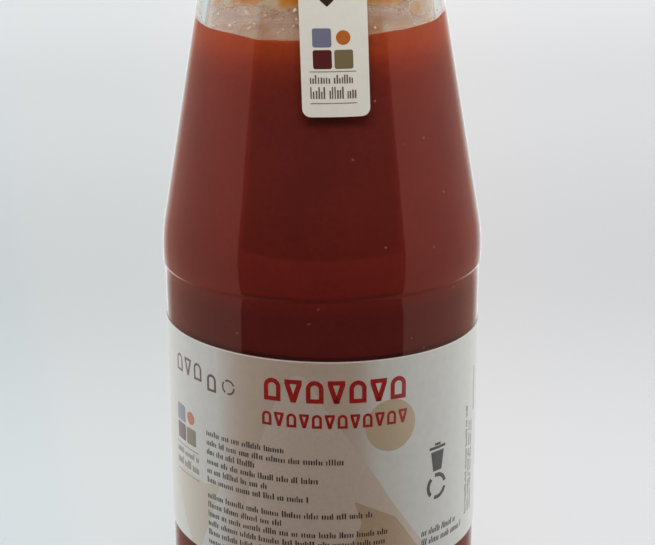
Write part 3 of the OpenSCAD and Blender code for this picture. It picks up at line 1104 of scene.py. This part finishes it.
def makeFloor():
    bm = bmesh.new()
    bmesh.ops.create_grid(bm, x_segments=1, y_segments=1, size=floorLook["half"])
    floor = newObject("floor", newMesh(bm, "floor"))
    material, add, place = newMaterial("studioFloorPaintedShade")
    # the floor's colour is painted shade and light: darker and paler by distance behind, tinted from side to
    # side and near the front
    parts = add("SeparateXYZ", links={"Vector": place}).outputs
    far = add("MapRange", between(floorLook["span"]), {"Value": parts["Y"]})
    low, high = floorLook["span"]
    stops = [((y - low) / (high - low), grey(tone)) for y, tone in floorLook["depth"]]
    depth = add("ValToRGB", {"stops": stops, "interpolation": "EASE"}, {"Fac": far})
    outward = add("Math", {"operation": "ADD", 1: floorLook["eyeBack"]}, {0: parts["Y"]})
    outward = add("Math", {"operation": "MAXIMUM", 1: floorLook["eyeBack"]}, {0: outward})
    aside = add("Math", {"operation": "DIVIDE"}, {0: parts["X"], 1: outward})
    across = add("MapRange", between(floorLook["spread"]), {"Value": aside})
    tints = {"stops": floorLook["across"], "interpolation": "EASE"}
    paintedShadeTint = add("ValToRGB", tints, {"Fac": across})
    ahead = add("MapRange", between(floorLook["nearSpan"]), {"Value": parts["Y"]})
    paintedShadeTint = add("Mix", {"data_type": "RGBA", 6: floorLook["near"]}, {0: ahead, 7: paintedShadeTint})
    tone = add("Mix", multiplied, {6: depth, 7: paintedShadeTint})
    look = {"Roughness": 0.9, "Specular IOR Level": 0.1}
    shader = add("BsdfPrincipled", look, {"Base Color": tone})
    floor.data.materials.append(closeMaterial(material, shader))
    floor.visible_glossy = False  # the bottle mirrors the studio's own light and dark walls
    floor.visible_diffuse = False


light = {
    "wall": (0.95, 1.4),  # pale walls, from the edge of the opening round to the back
    "back": 2.7,  # radians from the front where the wall is at its palest
    "mirrored": ((0.66, 0.38, 0.3, 1), (1.2, 1.2, 1.2, 1)),  # as the glass mirrors them, beside and behind
    "mirroredTurn": (2.5, 2.9),  # radians from the front over which beside gives way to behind
    "low": (-0.75, -0.35),  # how steeply down the mirrored walls grow dark
    "lowShare": 0.35,
    "front": (0.1, 0.052, 0.034, 1),  # the darker, warmer room in front
    "ceiling": 1.1,
    "ceilingEdge": (0.62, 0.8),
    "openingHalf": 60.5,  # the front opening reaches this far to each side, in degrees
    "openingEdge": 0.008,
    "backdrop": 0.79,
    "lamp": 0.092,
    "lampTone": (1.0, 0.985, 0.95),
    "lampSize": (0.12, 0.06),
    "lampPlace": (-0.005, -0.13, 0.27),
    "lampAim": (0, 0, 0.185),
}


def makeLight():
    world = bpy.data.worlds.new("studio")
    bpy.context.scene.world = world
    world.use_nodes = True
    world.node_tree.nodes.clear()
    add = partial(addNode, world.node_tree)
    ways = add("TexCoord").outputs["Generated"]
    turn = {"vector_type": "VECTOR", "Rotation": (0, 0, radians(-camera["azimuth"]))}
    turned = add("Mapping", turn, {"Vector": ways})
    parts = add("SeparateXYZ", links={"Vector": turned}).outputs
    behind = add("Math", {"operation": "MULTIPLY", 1: -1.0}, {0: parts["Y"]})
    angle = add("Math", {"operation": "ARCTAN2"}, {0: parts["X"], 1: behind})
    away = add("Math", {"operation": "ABSOLUTE"}, {0: angle})
    edge = radians(light["openingHalf"])
    opening = between((edge - light["openingEdge"], edge + light["openingEdge"]))
    walls = add("MapRange", opening, {"Value": away})
    path = add("LightPath").outputs
    rays = {0: path["Is Singular Ray"], 1: path["Is Reflection Ray"]}
    mirrored = add("Math", {"operation": "MULTIPLY"}, rays)
    beside, behind = light["wall"]
    paling = between((edge, light["back"])) | {"To Min": beside, "To Max": behind}
    pale = add("MapRange", paling, {"Value": away})
    farSide = add("MapRange", between(light["mirroredTurn"]), {"Value": away})
    beside, behind = light["mirrored"]
    shine = add("Mix", {"data_type": "RGBA", 6: beside, 7: behind}, {0: farSide})
    dimming = between(light["low"]) | {"To Min": light["lowShare"], "To Max": 1.0}
    low = add("MapRange", dimming, {"Value": parts["Z"]})
    shine = add("VectorMath", {"operation": "SCALE"}, {0: shine, "Scale": low})
    wall = add("Mix", {"data_type": "RGBA"}, {0: mirrored, 6: pale, 7: shine})
    sides = add("Mix", {"data_type": "RGBA", 6: light["front"]}, {0: walls, 7: wall})
    up = add("MapRange", between(light["ceilingEdge"]), {"Value": parts["Z"]})
    whole = add("Mix", {"data_type": "RGBA", 7: grey(light["ceiling"])}, {0: up, 6: sides})
    backdrop = {"data_type": "RGBA", 7: grey(light["backdrop"])}
    seen = add("Mix", backdrop, {0: path["Is Camera Ray"], 6: whole})
    shader = add("Background", {"Strength": 1.0}, {"Color": seen})
    add("OutputWorld", links={"Surface": shader})


def makeLamp():  # a soft lamp over the front of the bottle, nearest to its shoulder and cap
    data = bpy.data.lights.new("lamp", "AREA")
    data.shape = "RECTANGLE"
    data.size, data.size_y = light["lampSize"]
    data.energy = light["lamp"]
    data.color = light["lampTone"]
    lamp = newObject("lamp", data)
    spot = Vector(light["lampPlace"])
    turn = (Vector(light["lampAim"]) - spot).to_track_quat("-Z", "Y").to_matrix().to_4x4()
    lamp.matrix_world = Matrix.Translation(spot) @ turn
    lamp.visible_camera = False
    lamp.visible_glossy = False
    lamp.visible_transmission = False


makeFloor()
makeLight()
makeLamp()
print("floor and light set")
